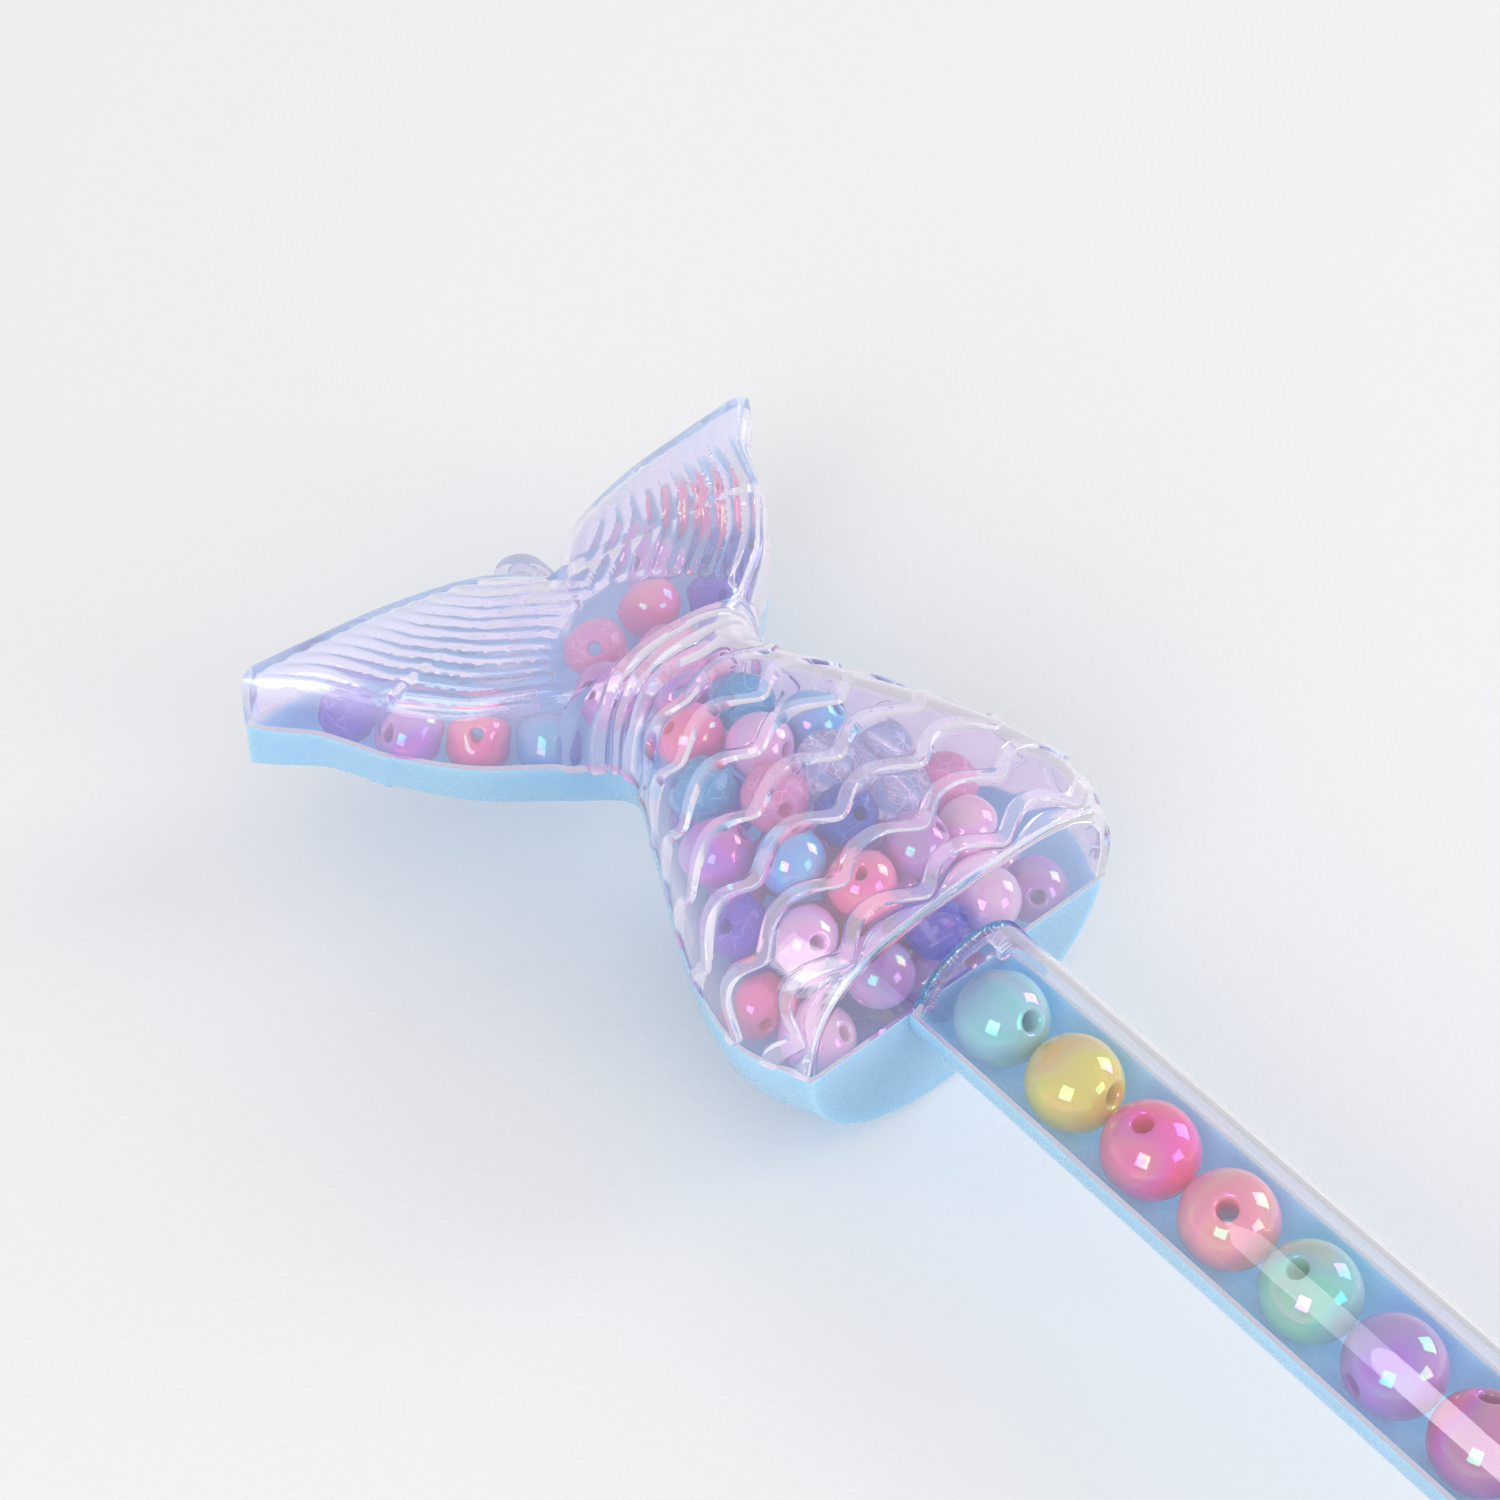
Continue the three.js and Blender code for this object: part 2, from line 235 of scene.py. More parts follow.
def body_rows():
    """Places of the cover's rows along X, close together over each rib."""
    places = {-FILLET}
    for centre in RIBS + RINGS:
        places.update(centre + step for step in RIB_STEPS)
    places.update(LIP_STEPS)
    places.update([COLLAR_X, COLLAR_X - 0.4, COLLAR_X - 0.9, COLLAR_FOOT])
    known = sorted(places, reverse=True)
    filled = []
    for here, there in zip(known, known[1:] + [BODY_END]):
        if filled and filled[-1] - here < LEAST_STEP:
            continue
        steps = max(1, round((here - there) / ROW_STEP))
        filled += [here + (there - here) * k / steps for k in range(steps)]
    return np.array(filled)


def scallops(x, around):
    """How far each rib line is moved along X, at a place along and around the body."""
    centres = np.array([0.0] + RIBS + RINGS + [COLLAR_X - 2, -200])
    index = np.clip(np.searchsorted(-centres, -x, side="right") - 1, 0, len(centres) - 2)
    part = np.clip((x - centres[index]) / (centres[index + 1] - centres[index]), 0, 1)

    def line(k):
        turn = math.pi * (around / SCALLOP["width"] + 0.5 * (k % 2))
        ease = SCALLOP["rounding"]
        wave = (np.hypot(np.sin(turn), ease) - ease) / (math.hypot(1, ease) - ease)
        return -SCALLOP["depth"] * np.array(WAVES)[k] * (wave - SCALLOP["middle"])

    return line(index) * (1 - part) + line(index + 1) * part


def tail_skin(side, inset, relief=False):
    """One half of a tail surface, from the front's foot to the tip's foot: its grid of points,
    the row where the notch starts, and how far each point is raised by a rib, 0 to 1."""
    sign = 1 if side == "top" else -1
    across = (1 - np.cos(np.pi * np.arange(ACROSS + 1) / ACROSS)) / 2
    body = station_table(side, inset, False)
    fluke = station_table(side, inset, True)
    notch_x = fluke[0, 0]
    rows_x = body_rows()
    rows_x = np.interp(rows_x, [BODY_END, -FILLET], [notch_x + 0.4, -inset - FILLET])
    x = np.repeat(rows_x[:, None], ACROSS + 1, axis=1)
    share = np.linspace(0, 1, len(body))
    place = np.interp(-x, -body[:, 0], share)
    s = np.repeat(across[None], len(rows_x), axis=0)
    grid = skin(look_up(body, place), s, sign, False)
    around = np.zeros_like(x)
    around[:, 1:] = np.cumsum(np.linalg.norm(np.diff(grid, axis=1), axis=2), axis=1)
    if relief:
        x = x + scallops(x, around) * smoothstep(0, 0.8, -FILLET - x + 0.4)
        place = np.interp(-x, -body[:, 0], share)
        grid = skin(look_up(body, place), s, sign, False)

    fluke_place = np.repeat(np.linspace(0, 1, FLUKE_ROWS)[:, None], ACROSS + 1, axis=1)
    s_fluke = np.repeat(across[None], FLUKE_ROWS, axis=0)
    fin = skin(look_up(fluke, fluke_place), s_fluke, sign, True)
    front = []
    for turn in np.linspace(0, math.pi / 2, FILLET_ROWS + 1)[:-1]:
        x_front = -inset - FILLET * (1 - math.cos(turn))
        lean = FILLET * (1 - math.sin(turn))
        row = look_up(body, np.full(ACROSS + 1, np.interp(-x_front, -body[:, 0], share)))
        row[:, 0] = row[:, 2] = x_front
        row[:, 3] -= lean
        row[:, 4] -= lean
        front.append(skin(row, across, sign, False))
    grid = np.concatenate([np.array(front), grid, fin])
    if relief:
        heights = np.concatenate([np.full((len(front), ACROSS + 1), RIB_HEIGHT),
                                  rib_lift(np.repeat(rows_x[:, None], ACROSS + 1, axis=1)),
                                  np.zeros((FLUKE_ROWS, ACROSS + 1))])
        grid = raise_relief(grid, heights, len(front))
    foot = sign * HALF_GAP
    first, last = grid[:1].copy(), grid[-1:].copy()
    first[..., 2] = last[..., 2] = foot
    raised = np.zeros(grid.shape[:2])
    if relief:
        raised = np.clip(heights / RIB_HEIGHT, 0, 1)
        raised[:len(front)] = 0
    raised = np.concatenate([raised[:1], raised, raised[-1:]])
    return np.concatenate([first, grid, last]), 1 + len(front) + len(rows_x), raised


def rib_lift(x):
    """Height of ribs, rings and the collar at places along X that follow the rib lines."""
    lift = np.zeros_like(x)
    for centre in RIBS:
        lift = np.maximum(lift, RIB_HEIGHT * np.interp(x - centre, RIB_STEPS, RIB_HEIGHTS))
    lift = np.maximum(lift, RIB_HEIGHT * smoothstep(LIP_STEPS[0], LIP_STEPS[-1], x))
    rings = np.zeros_like(x)
    for centre in RINGS:
        rings = np.maximum(rings, RING_HEIGHT * np.interp(x - centre, RIB_STEPS, RIB_HEIGHTS))
    return np.maximum(lift, rings)


def skirt_lift(x):
    """How far the body stands proud of the flukes' root, just ahead of the collar's step."""
    rise = 1 - smoothstep(SKIRT["full"], SKIRT["none"], x)
    return SKIRT["height"] * rise * smoothstep(COLLAR_FOOT, COLLAR_X, x)


def raise_relief(grid, lift, front):
    """Moves a cover's points out along its normals, and sinks and flutes its flukes."""
    along = np.gradient(grid, axis=0)
    around = np.gradient(grid, axis=1)
    normal = np.cross(around, along)
    normal[:front + 1, :, 0] = 0
    normal /= np.maximum(np.linalg.norm(normal, axis=2), 1e-9)[..., None]
    flip = np.where(np.sum(normal * np.array([0, 0.3, 1.0]), axis=2) < 0, -1, 1)
    normal *= flip[..., None]
    x, y, z = np.moveaxis(grid, 2, 0)
    up = z - HALF_GAP
    behind = 1 - smoothstep(COLLAR_FOOT, COLLAR_X, x)
    sunk = ROOT["depth"] * behind * smoothstep(*ROOT["x"], x) * smoothstep(*ROOT["up"], up)
    flutes = FLUTE["height"] * flute_pattern(x, y) * smoothstep(*FLUTE["up"], up)
    moved = grid + normal * (lift + skirt_lift(x) - sunk)[..., None]
    moved[..., 2] += flutes
    moved[..., 2] = np.maximum(moved[..., 2], HALF_GAP)
    moved[:, -1, 2] = grid[:, -1, 2]
    return moved


def flute_pattern(x, y):
    """Height pattern of the flutes, 0 to 1, running parallel to a fluke's leading edge."""
    root = spline(BODY, np.linspace(FLUTE["lead_start"], 1, OUTLINE_STEPS))
    fin = spline(FLUKE, np.linspace(0, 1, OUTLINE_STEPS))
    lead = np.vstack([root[:, 2:4], fin[:, 2:4]])
    trail = fin[:, :2]

    def nearest(outline):
        far = np.full(x.shape, 1e9)
        for px, py in outline:
            far = np.minimum(far, (x - px) ** 2 + (y - py) ** 2)
        return np.sqrt(far)

    from_lead, from_trail = nearest(lead), nearest(trail)
    from_root = np.hypot(x - FLUTE["start_x"], y) - FLUTE["start_radius"]
    wave = np.abs(np.sin(math.pi * from_lead / FLUTE["pitch"])) ** FLUTE["sharpness"]
    shown = smoothstep(*FLUTE["root"], from_root) * smoothstep(*FLUTE["trail"], from_trail)
    return wave * shown * smoothstep(*FLUTE["lead"], from_lead) * (x < FLUTE["last_x"])


def tail_shell(name, side, material, relief):
    """A closed thin shell of the tail on one side of the seam."""
    outer, notch, raised = tail_skin(side, 0, relief)
    inner = tail_skin(side, WALL)[0]
    rows, columns = outer.shape[:2]
    points, faces = [], []
    count = rows * columns
    ids = np.arange(count).reshape(rows, columns)
    for mirror in (1, -1):
        first = len(points) * count
        for grid in (outer, inner):
            faces.append(grid_faces(rows, columns, len(points) * count))
            points.append(grid.reshape(-1, 3) * [1, mirror, 1])
        foot = [ids[0, ::-1], ids[:, -1], ids[-1, ::-1], ids[notch:, 0][::-1]]
        for line in foot:
            a, b = line[:-1] + first, line[1:] + first
            faces.append(np.column_stack([a, b, b + count, a + count]))
    raised = np.concatenate([raised.ravel(), np.zeros(count)] * 2)
    return mesh_piece(name, np.vstack(points), np.vstack(faces), material, 32, raised=raised)


# ---- Turned pieces -------------------------------------------------------------------------
def half_turned(name, profile, sign, material, steps=72, wobble=None):
    """A closed outline of (x, radius) turned half way round X, on one side of the seam."""
    profile = np.array(profile, dtype=float)
    angle = np.linspace(0, math.pi, steps + 1)
    rings = []
    for turn in angle:
        radius = profile[:, 1]
        rings.append(np.column_stack([
            profile[:, 0],
            radius * math.cos(turn),
            sign * (HALF_GAP + np.maximum(radius - HALF_GAP, 0) * math.sin(turn)),
        ]))
    grid = np.array(rings)
    if wobble:
        grid = wobble(grid, angle)
    count = len(profile)
    faces = []
    for i in range(steps):
        for j in range(count):
            k = (j + 1) % count
            faces.append([i * count + j, i * count + k, (i + 1) * count + k, (i + 1) * count + j])
    faces.append(list(range(count)))
    faces.append(list(range(steps * count, (steps + 1) * count))[::-1])
    return mesh_piece(name, grid.reshape(-1, 3), faces, material)


def dome_profile(start, radius, end, steps=18):
    """(x, radius) along a bar and round its domed end."""
    turn = np.linspace(0, math.pi / 2, steps)
    arc = np.column_stack([end - radius + radius * np.sin(turn), radius * np.cos(turn)])
    length = np.linspace(start, end - radius, 24)[:-1]
    return [(x, radius) for x in length] + arc.tolist()


# ---- Beads ---------------------------------------------------------------------------------
# Rings of flat facets on a cut bead: angle above its equator and number of facets. They lie at
# this share of the bead's radius.
FACET_RINGS = ((0.0, 8), (0.62, 7), (-0.62, 7), (1.15, 4), (-1.15, 4))
FACET_REACH = 0.9


def bead_shape(radius, sides=40, arc_steps=22):
    """Points and faces of a drilled ball, its hole along Z, its mouth slightly rounded."""
    hole = radius * BEAD_HOLE
    lip = 0.1 * radius
    start = math.asin((hole + lip) / radius)
    profile = [(hole, 0.0)]
    rim = radius * math.cos(start)
    for turn in np.linspace(0, math.pi / 2, 4):
        profile.append((hole + lip * (1 - math.cos(turn)), rim - lip * (1 - math.sin(turn))))
    arc = np.linspace(start, math.pi - start, arc_steps)
    profile += [(radius * math.sin(a), radius * math.cos(a)) for a in arc[1:-1]]
    profile += [(r, -z) for r, z in reversed(profile[1:5])]
    profile = np.array(profile)
    turn = 2 * math.pi * np.arange(sides) / sides
    points = np.array([[r * math.cos(t), r * math.sin(t), z] for t in turn for r, z in profile])
    count = len(profile)
    faces = []
    for i in range(sides):
        for j in range(count):
            k = (j + 1) % count
            n = (i + 1) % sides
            faces.append([i * count + j, i * count + k, n * count + k, n * count + j])
    return points, faces


def faceted_shape(radius, rng):
    """Points and faces of a drilled ball cut with flat facets."""
    points, faces = bead_shape(radius, 24, 13)
    cuts = []
    for ring, number in FACET_RINGS:
        for k in range(number):
            a = 2 * math.pi * (k + rng.random() * 0.3) / number
            level = math.cos(ring)
            cuts.append((level * math.cos(a), level * math.sin(a), math.sin(ring)))
    cuts = np.array(cuts)
    reach = points @ cuts.T
    most = reach.max(axis=1)
    flat = FACET_REACH * radius
    outside = np.linalg.norm(points, axis=1) > 0.5 * radius
    scale = np.where(outside & (most > flat), flat / np.maximum(most, 1e-6), 1)
    return points * scale[:, None], faces


def turned_to(points, axis, spin=0.0):
    """Turns a bead's points so that its hole runs along an axis."""
    axis = Vector(axis).normalized()
    turn = Vector((0, 0, 1)).rotation_difference(axis).to_matrix() @ Matrix.Rotation(spin, 3, "Z")
    return points @ np.array(turn).T


# ---- Materials -----------------------------------------------------------------------------
def rgb(text):
    """Linear colour from a #rrggbb sRGB value."""
    channels = [int(text[k:k + 2], 16) / 255 for k in (1, 3, 5)]
    return [c / 12.92 if c <= 0.04045 else ((c + 0.055) / 1.055) ** 2.4 for c in channels] + [1]


class Nodes:
    """A material's node tree, with short calls to add to it."""

    def __init__(self, name):
        self.material = bpy.data.materials.new(name)
        self.material.use_nodes = True
        self.tree = self.material.node_tree
        self.shader = self.tree.nodes["Principled BSDF"]
        self.output = self.tree.nodes["Material Output"]

    def add(self, kind, inputs=None, **settings):
        node = self.tree.nodes.new(kind)
        for key, value in settings.items():
            setattr(node, key, value)
        for key, value in (inputs or {}).items():
            self.put(node.inputs[key], value)
        return node

    def put(self, socket, value):
        if isinstance(value, bpy.types.NodeSocket):
            self.tree.links.new(value, socket)
        else:
            socket.default_value = value

    def set(self, **inputs):
        for key, value in inputs.items():
            self.put(self.shader.inputs[key.replace("_", " ")], value)

    def ramp(self, factor, stops):
        node = self.add("ShaderNodeValToRGB", {"Fac": factor})
        elements = node.color_ramp.elements
        while len(elements) < len(stops):
            elements.new(0.5)
        for element, (place, colour) in zip(elements, stops):
            element.position = place
            element.color = colour
        return node.outputs["Color"]

    def noise(self, scale, detail=2.0, offset=0.0):
        where = self.add("ShaderNodeTexCoord").outputs["Object"]
        moved = self.add("ShaderNodeVectorMath", {0: where, 1: (offset, offset * 0.7, -offset)})
        return self.add("ShaderNodeTexNoise", {
            "Vector": moved.outputs[0], "Scale": scale, "Detail": detail})

    def mix(self, factor, one, other, blend="MIX"):
        node = self.add("ShaderNodeMix", data_type="RGBA", blend_type=blend)
        self.put(node.inputs["Factor"], factor)
        self.put(node.inputs[6], one)
        self.put(node.inputs[7], other)
        return node.outputs[2]

    def spread(self, value, low, high, to_low, to_high):
        node = self.add("ShaderNodeMapRange", {
            "Value": value, "From Min": low, "From Max": high, "To Min": to_low, "To Max": to_high})
        return node.outputs["Result"]

    def bump(self, height, strength, distance):
        node = self.add("ShaderNodeBump", {
            "Height": height, "Strength": strength, "Distance": distance})
        return node.outputs["Normal"]

    def mix_shaders(self, factor, one, other):
        return self.add("ShaderNodeMixShader", {0: factor, 1: one, 2: other}).outputs[0]

    def lets_light_in(self, tint, share=1.0, bounces=False):
        """Part of the light passes straight through, tinted, so what is inside is lit."""
        solid = self.shader.outputs[0]
        clear = self.add("ShaderNodeBsdfTransparent", {"Color": tint}).outputs[0]
        if share < 1:
            clear = self.mix_shaders(share, solid, clear)
        path = self.add("ShaderNodeLightPath")
        surface = self.mix_shaders(path.outputs["Is Shadow Ray"], solid, clear)
        if bounces:
            surface = self.mix_shaders(path.outputs["Is Reflection Ray"], surface, clear)
        self.tree.links.new(surface, self.output.inputs["Surface"])
        return self.material


def blue_plastic():
    m = Nodes("blue_shell")
    cloud = m.noise(35.0).outputs["Fac"]
    grain = m.noise(2600.0, 2).outputs["Fac"]
    colour = m.ramp(cloud, [(0.3, rgb("#99c2e2")), (0.7, rgb("#a3cae8"))])
    m.set(Base_Color=colour, Roughness=m.spread(grain, 0.3, 0.7, 0.22, 0.3), IOR=1.47)
    m.set(Subsurface_Weight=0.9, Subsurface_Radius=(0.75, 0.9, 1.0), Subsurface_Scale=0.006)
    m.set(Normal=m.bump(grain, 0.05, 0.00002))
    return m.lets_light_in(rgb("#e0f0ff"), 0.94)


# Where the cover's haze fades in: along X over the flukes and at their rear, above the seam, and
# out towards the tips.
HAZE = {"x": (-80, -66), "rear": (-104, -86), "up": (5, 9), "tip": (46, 60)}


def clear_plastic():
    """Clear plastic with a faint lavender haze, stronger over the fluted top of the flukes."""
    m = Nodes("clear_cover")
    where = m.add("ShaderNodeTexCoord").outputs["Object"]
    place = m.add("ShaderNodeSeparateXYZ", {"Vector": where})
    fin_x, rear_x = ([FRONT_X + x * MM for x in HAZE[key]] for key in ("x", "rear"))
    fin = m.spread(place.outputs["X"], *fin_x, 1, 0)
    top = m.spread(place.outputs["Z"], *(SEAM_Z + up * MM for up in HAZE["up"]), 0, 1)
    aside = m.add("ShaderNodeMath", {0: place.outputs["Y"]}, operation="ABSOLUTE").outputs[0]
    tip = m.spread(aside, *(y * MM for y in HAZE["tip"]), 0, 1)
    rear = m.spread(place.outputs["X"], *rear_x, 1, 0.3)
    top = m.add("ShaderNodeMath", {0: top, 1: rear}, operation="MULTIPLY").outputs[0]
    haze = m.add("ShaderNodeMath", {0: top, 1: tip}, operation="MAXIMUM").outputs[0]
    haze = m.add("ShaderNodeMath", {0: fin, 1: haze}, operation="MULTIPLY").outputs[0]
    ripple = m.noise(150.0, 1).outputs["Fac"]
    tail = m.spread(place.outputs["X"], FRONT_X - MM, FRONT_X, 1, 0)
    # Painted highlight: raised ribs and the lip behind the front face are made milkier, so they
    # show as pale bands where the real ones catch the light.
    ribs = m.add("ShaderNodeAttribute", attribute_name="raised").outputs["Fac"]
    milk_and_rib_highlight = m.add("ShaderNodeMath", {0: haze, 1: 0.25, 2: m.spread(tail, 0, 1, 0.03, 0.08)},
                 operation="MULTIPLY_ADD").outputs[0]
    milk_and_rib_highlight = m.add("ShaderNodeMath", {0: ribs, 1: 0.17, 2: milk_and_rib_highlight},
                 operation="MULTIPLY_ADD").outputs[0]
    tint = m.mix(tail, rgb("#fafbff"), rgb("#f4edfb"))
    m.set(Base_Color=m.mix(haze, tint, rgb("#e4e9f6")), IOR=1.46)
    m.set(Roughness=m.spread(haze, 0, 1, 0.01, 0.04))
    m.set(Transmission_Weight=m.spread(milk_and_rib_highlight, 0, 1, 1, 0))
    m.set(Normal=m.bump(ripple, 0.1, 0.0003))
    return m.lets_light_in(rgb("#f8f7fd"), bounces=True)


def pearl(name, body, rim_sheen_and_tint, painted_sheen_share=0.18, clear=0.0, depth=0.15):
    """A glossy ball with an iridescent coating over a milky body, with a painted rainbow sheen and
    a painted lighter rim in its colour.
    """
    m = Nodes(name)
    swirl = m.noise(75.0, 1, offset=sum(map(ord, name)) * 0.01).outputs["Fac"]
    # Painted sheen: rainbow patches mixed into the base colour, standing in for the coating's
    # iridescent reflections.
    sheen = m.ramp(swirl, [
        (0.30, rgb("#ff7fc8")), (0.42, rgb("#c98aff")), (0.50, rgb("#8ab8ff")),
        (0.57, rgb("#86e6c0")), (0.64, rgb("#f2e67a")), (0.76, rgb("#ff9ac0"))])
    # Painted sheen: the base colour turns lighter towards the ball's rim as the camera sees it.
    edge = m.add("ShaderNodeLayerWeight", {"Blend": 0.3}).outputs["Facing"]
    base = m.mix(edge, rgb(body), rgb(rim_sheen_and_tint))
    base = m.mix(painted_sheen_share, base, sheen)
    m.set(Base_Color=base, Roughness=0.025, IOR=1.52, Specular_IOR_Level=0.55)
    m.set(Subsurface_Weight=depth, Subsurface_Radius=(1.0, 0.7, 0.8), Subsurface_Scale=0.0025)
    m.set(Transmission_Weight=clear)
    m.set(Thin_Film_Thickness=m.spread(swirl, 0.3, 0.7, 250.0, 480.0), Thin_Film_IOR=2.0)
    return m.lets_light_in(rgb(rim_sheen_and_tint), 0.6)


def crackle(name, tint, veins, body=0.6, scale=520.0, cracks=0.5):
    """A see-through ball with a net of fine cracks inside."""
    m = Nodes(name)
    where = m.add("ShaderNodeTexCoord").outputs["Object"]
    wander = m.noise(600.0, 3).outputs["Color"]
    bent = m.add("ShaderNodeVectorMath", {0: wander, 1: (0.0016, 0.0016, 0.0016), 2: where},
                 operation="MULTIPLY_ADD").outputs[0]
    cells = m.add("ShaderNodeTexVoronoi", {"Vector": bent, "Scale": scale},
                  feature="DISTANCE_TO_EDGE")
    line = m.spread(cells.outputs["Distance"], 0.0, 0.06, 0.75, 0.0)
    cloud = m.noise(300.0, 2, offset=0.3).outputs["Fac"]
    part = m.add("ShaderNodeMath", {0: line, 1: m.spread(cloud, 0.35, 0.65, 0.15, 1)},
                 operation="MULTIPLY").outputs[0]
    colour = m.mix(part, rgb(tint), rgb(veins))
    m.set(Base_Color=colour, Roughness=m.spread(part, 0, 1, 0.03, 0.25), IOR=1.4)
    m.set(Transmission_Weight=m.spread(part, 0, 1, body, 0.2))
    m.set(Normal=m.bump(part, cracks, 0.0002))
    return m.lets_light_in(rgb(tint), 0.8)


def floor_paper():
    m = Nodes("floor_paper")
    grain = m.noise(900.0, 4).outputs["Fac"]
    cloud = m.noise(3.0, 1).outputs["Fac"]
    m.set(Base_Color=m.ramp(cloud, [(0.3, rgb("#efeff0")), (0.7, rgb("#f2f1f0"))]))
    m.set(Roughness=0.85, Specular_IOR_Level=0.2, Normal=m.bump(grain, 0.25, 0.0003))
    return m.material


# Each pearl's second colour is a painted rim sheen and also tints the light let through it; the
# number after it is the share of painted rainbow sheen.
FINISHES = {
    "blue_shell": blue_plastic(),
    "clear_cover": clear_plastic(),
    "aqua": pearl("aqua", "#72c4d4", "#aae2ea", 0.12),
    "yellow": pearl("yellow", "#e8cc1e", "#f0e85e", 0.08),
    "hot_pink": pearl("hot_pink", "#f2448e", "#f97cb0", 0.1),
    "salmon": pearl("salmon", "#f88696", "#ffacb4", 0.1),
    "mint": pearl("mint", "#78cea4", "#aee8ca", 0.12),
    "lilac": pearl("lilac", "#bc68ce", "#de9ee6", 0.15, clear=0.2),
    "magenta": pearl("magenta", "#c63084", "#d868aa"),
    "pale_pink": pearl("pale_pink", "#f2b0dc", "#f8cee8", 0.14, clear=0.15),
    "sky_blue": pearl("sky_blue", "#48a6de", "#80c8f0", 0.14),
    "purple": crackle("purple", "#7f5ddc", "#a48cf0", 0.6, 300, 0.15),
    "navy": crackle("navy", "#164fb8", "#4c8ede", 0.3, 300, 0.2),
    "teal": crackle("teal", "#30b4dc", "#8ee4f2", 0.45, 400, 0.25),
    "mauve": crackle("mauve", "#f09acc", "#fcdcf0", 0.5),
    "clear_bead": crackle("clear_bead", "#e2e6f6", "#ffffff", 0.8),
}


# ---- Shells --------------------------------------------------------------------------------
def build_shells():
    blue, clear = FINISHES["blue_shell"], FINISHES["clear_cover"]
    tray = tail_shell("tray", "bottom", blue, False)
    dome = tail_shell("scaled_cover", "top", clear, True)

    outside = dome_profile(-WALL / 2, HANDLE_RADIUS, HANDLE_LENGTH)
    inside = dome_profile(-WALL / 2, HANDLE_RADIUS - WALL, HANDLE_LENGTH - WALL)
    trough = half_turned("trough", outside + inside[::-1], -1, blue)

    start = 2 * HALF_GAP
    bore = HANDLE_RADIUS - WALL
    web_x = start + WEB["thickness"]
    outside = [(start, HANDLE_RADIUS - 0.4), (start + 0.12, HANDLE_RADIUS - 0.12)]
    outside += dome_profile(start + 0.4, HANDLE_RADIUS, HANDLE_LENGTH)
    inside = dome_profile(web_x + 0.5, bore, HANDLE_LENGTH - WALL)
    mouth = [(web_x + 0.15, bore - 0.15), (web_x, bore - 0.5), (web_x, WEB["radius"] + 0.3),
             (web_x - 0.2, WEB["radius"]), (start + 0.2, WEB["radius"]),
             (start, WEB["radius"] + 0.3)]

    def ragged(grid, angle):
        """The web's free edge is torn where the gate was broken off."""
        rough = random.Random(4)
        for i, turn in enumerate(angle):
            notch = TORN["depth"] * math.exp(-((turn - TORN["at"]) / TORN["width"]) ** 2)
            bite = notch - TORN["rough"] * rough.random()
            for j in range(len(grid[i])):
                y, z = grid[i][j][1:]
                radius = math.hypot(y, z)
                if radius < WEB["radius"] + 0.5 and grid[i][j][0] < web_x + 0.1:
                    grid[i][j][1:] *= 1 + bite / radius
        return grid

    tube = half_turned("handle_window", outside + inside[::-1] + mouth, 1, clear, 96, ragged)

    lug = eyelet(clear)
    for piece in (tray, dome, trough, tube, lug):
        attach(piece, "shell")
    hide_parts("lower_shell")
    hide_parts("lower_shell")
    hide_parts("tail_cover")
    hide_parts("tail_cover")
    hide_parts("handle_cover")


def eyelet(material):
    """The small lug at the notch, with rounded edges and a hole through it."""
    turns = np.linspace(math.pi / 2, 1.5 * math.pi, 25)
    outer = [(math.cos(turn), math.sin(turn)) for turn in turns]
    bottom, top = HALF_GAP, EYELET["top"]
    ease = 0.5
    levels = [(bottom, 0), (top - ease, 0), (top - 0.15, 0.15), (top, ease)]
    rings = []
    reach = EYELET["x"] + EYELET["length"]
    for z, shrink in levels:
        radius = EYELET["radius"] - shrink
        ring = [(EYELET["x"] + radius * c, radius * s, z) for c, s in outer]
        rings.append([(reach, radius, z)] + ring + [(reach, -radius, z)])
    hole = []
    for z, grow in reversed(levels):
        radius = EYELET["hole"] + grow
        ring = [(EYELET["x"] + radius * c, radius * s, z) for c, s in outer]
        hole.append([(EYELET["x"] + 0.02, radius, z)] + ring + [(EYELET["x"] + 0.02, -radius, z)])
    grid = np.array(rings + hole)
    count = grid.shape[1]
    loop = len(grid)
    faces = []
    for i in range(loop):
        for j in range(count - 1):
            n = (i + 1) % loop
            faces.append([i * count + j, i * count + j + 1, n * count + j + 1, n * count + j])
    faces.append([i * count for i in range(loop)])
    faces.append([i * count + count - 1 for i in range(loop)][::-1])
    return mesh_piece("eyelet", grid.reshape(-1, 3), faces, material)


build_shells()

# ---- Camera --------------------------------------------------------------------------------
EYE = Vector((163.04, -204.57, 334.39)) * MM + ORIGIN
AIM = Vector((-50.83, 5.05, 0)) * MM + ORIGIN
ROLL = math.radians(3.89)
camera_data = bpy.data.cameras.new("camera")
camera_data.lens = 72.2
camera_data.sensor_width = 36
camera = bpy.data.objects.new("camera", camera_data)
bpy.context.scene.collection.objects.link(camera)
camera.location = EYE
ahead = (AIM - EYE).normalized()
right = ahead.cross(Vector((0, 0, 1))).normalized()
up = right.cross(ahead)
seen_right = right * math.cos(ROLL) + up * math.sin(ROLL)
seen_up = up * math.cos(ROLL) - right * math.sin(ROLL)
camera.rotation_euler = Matrix((seen_right, seen_up, -ahead)).transposed().to_euler()
bpy.context.scene.camera = camera

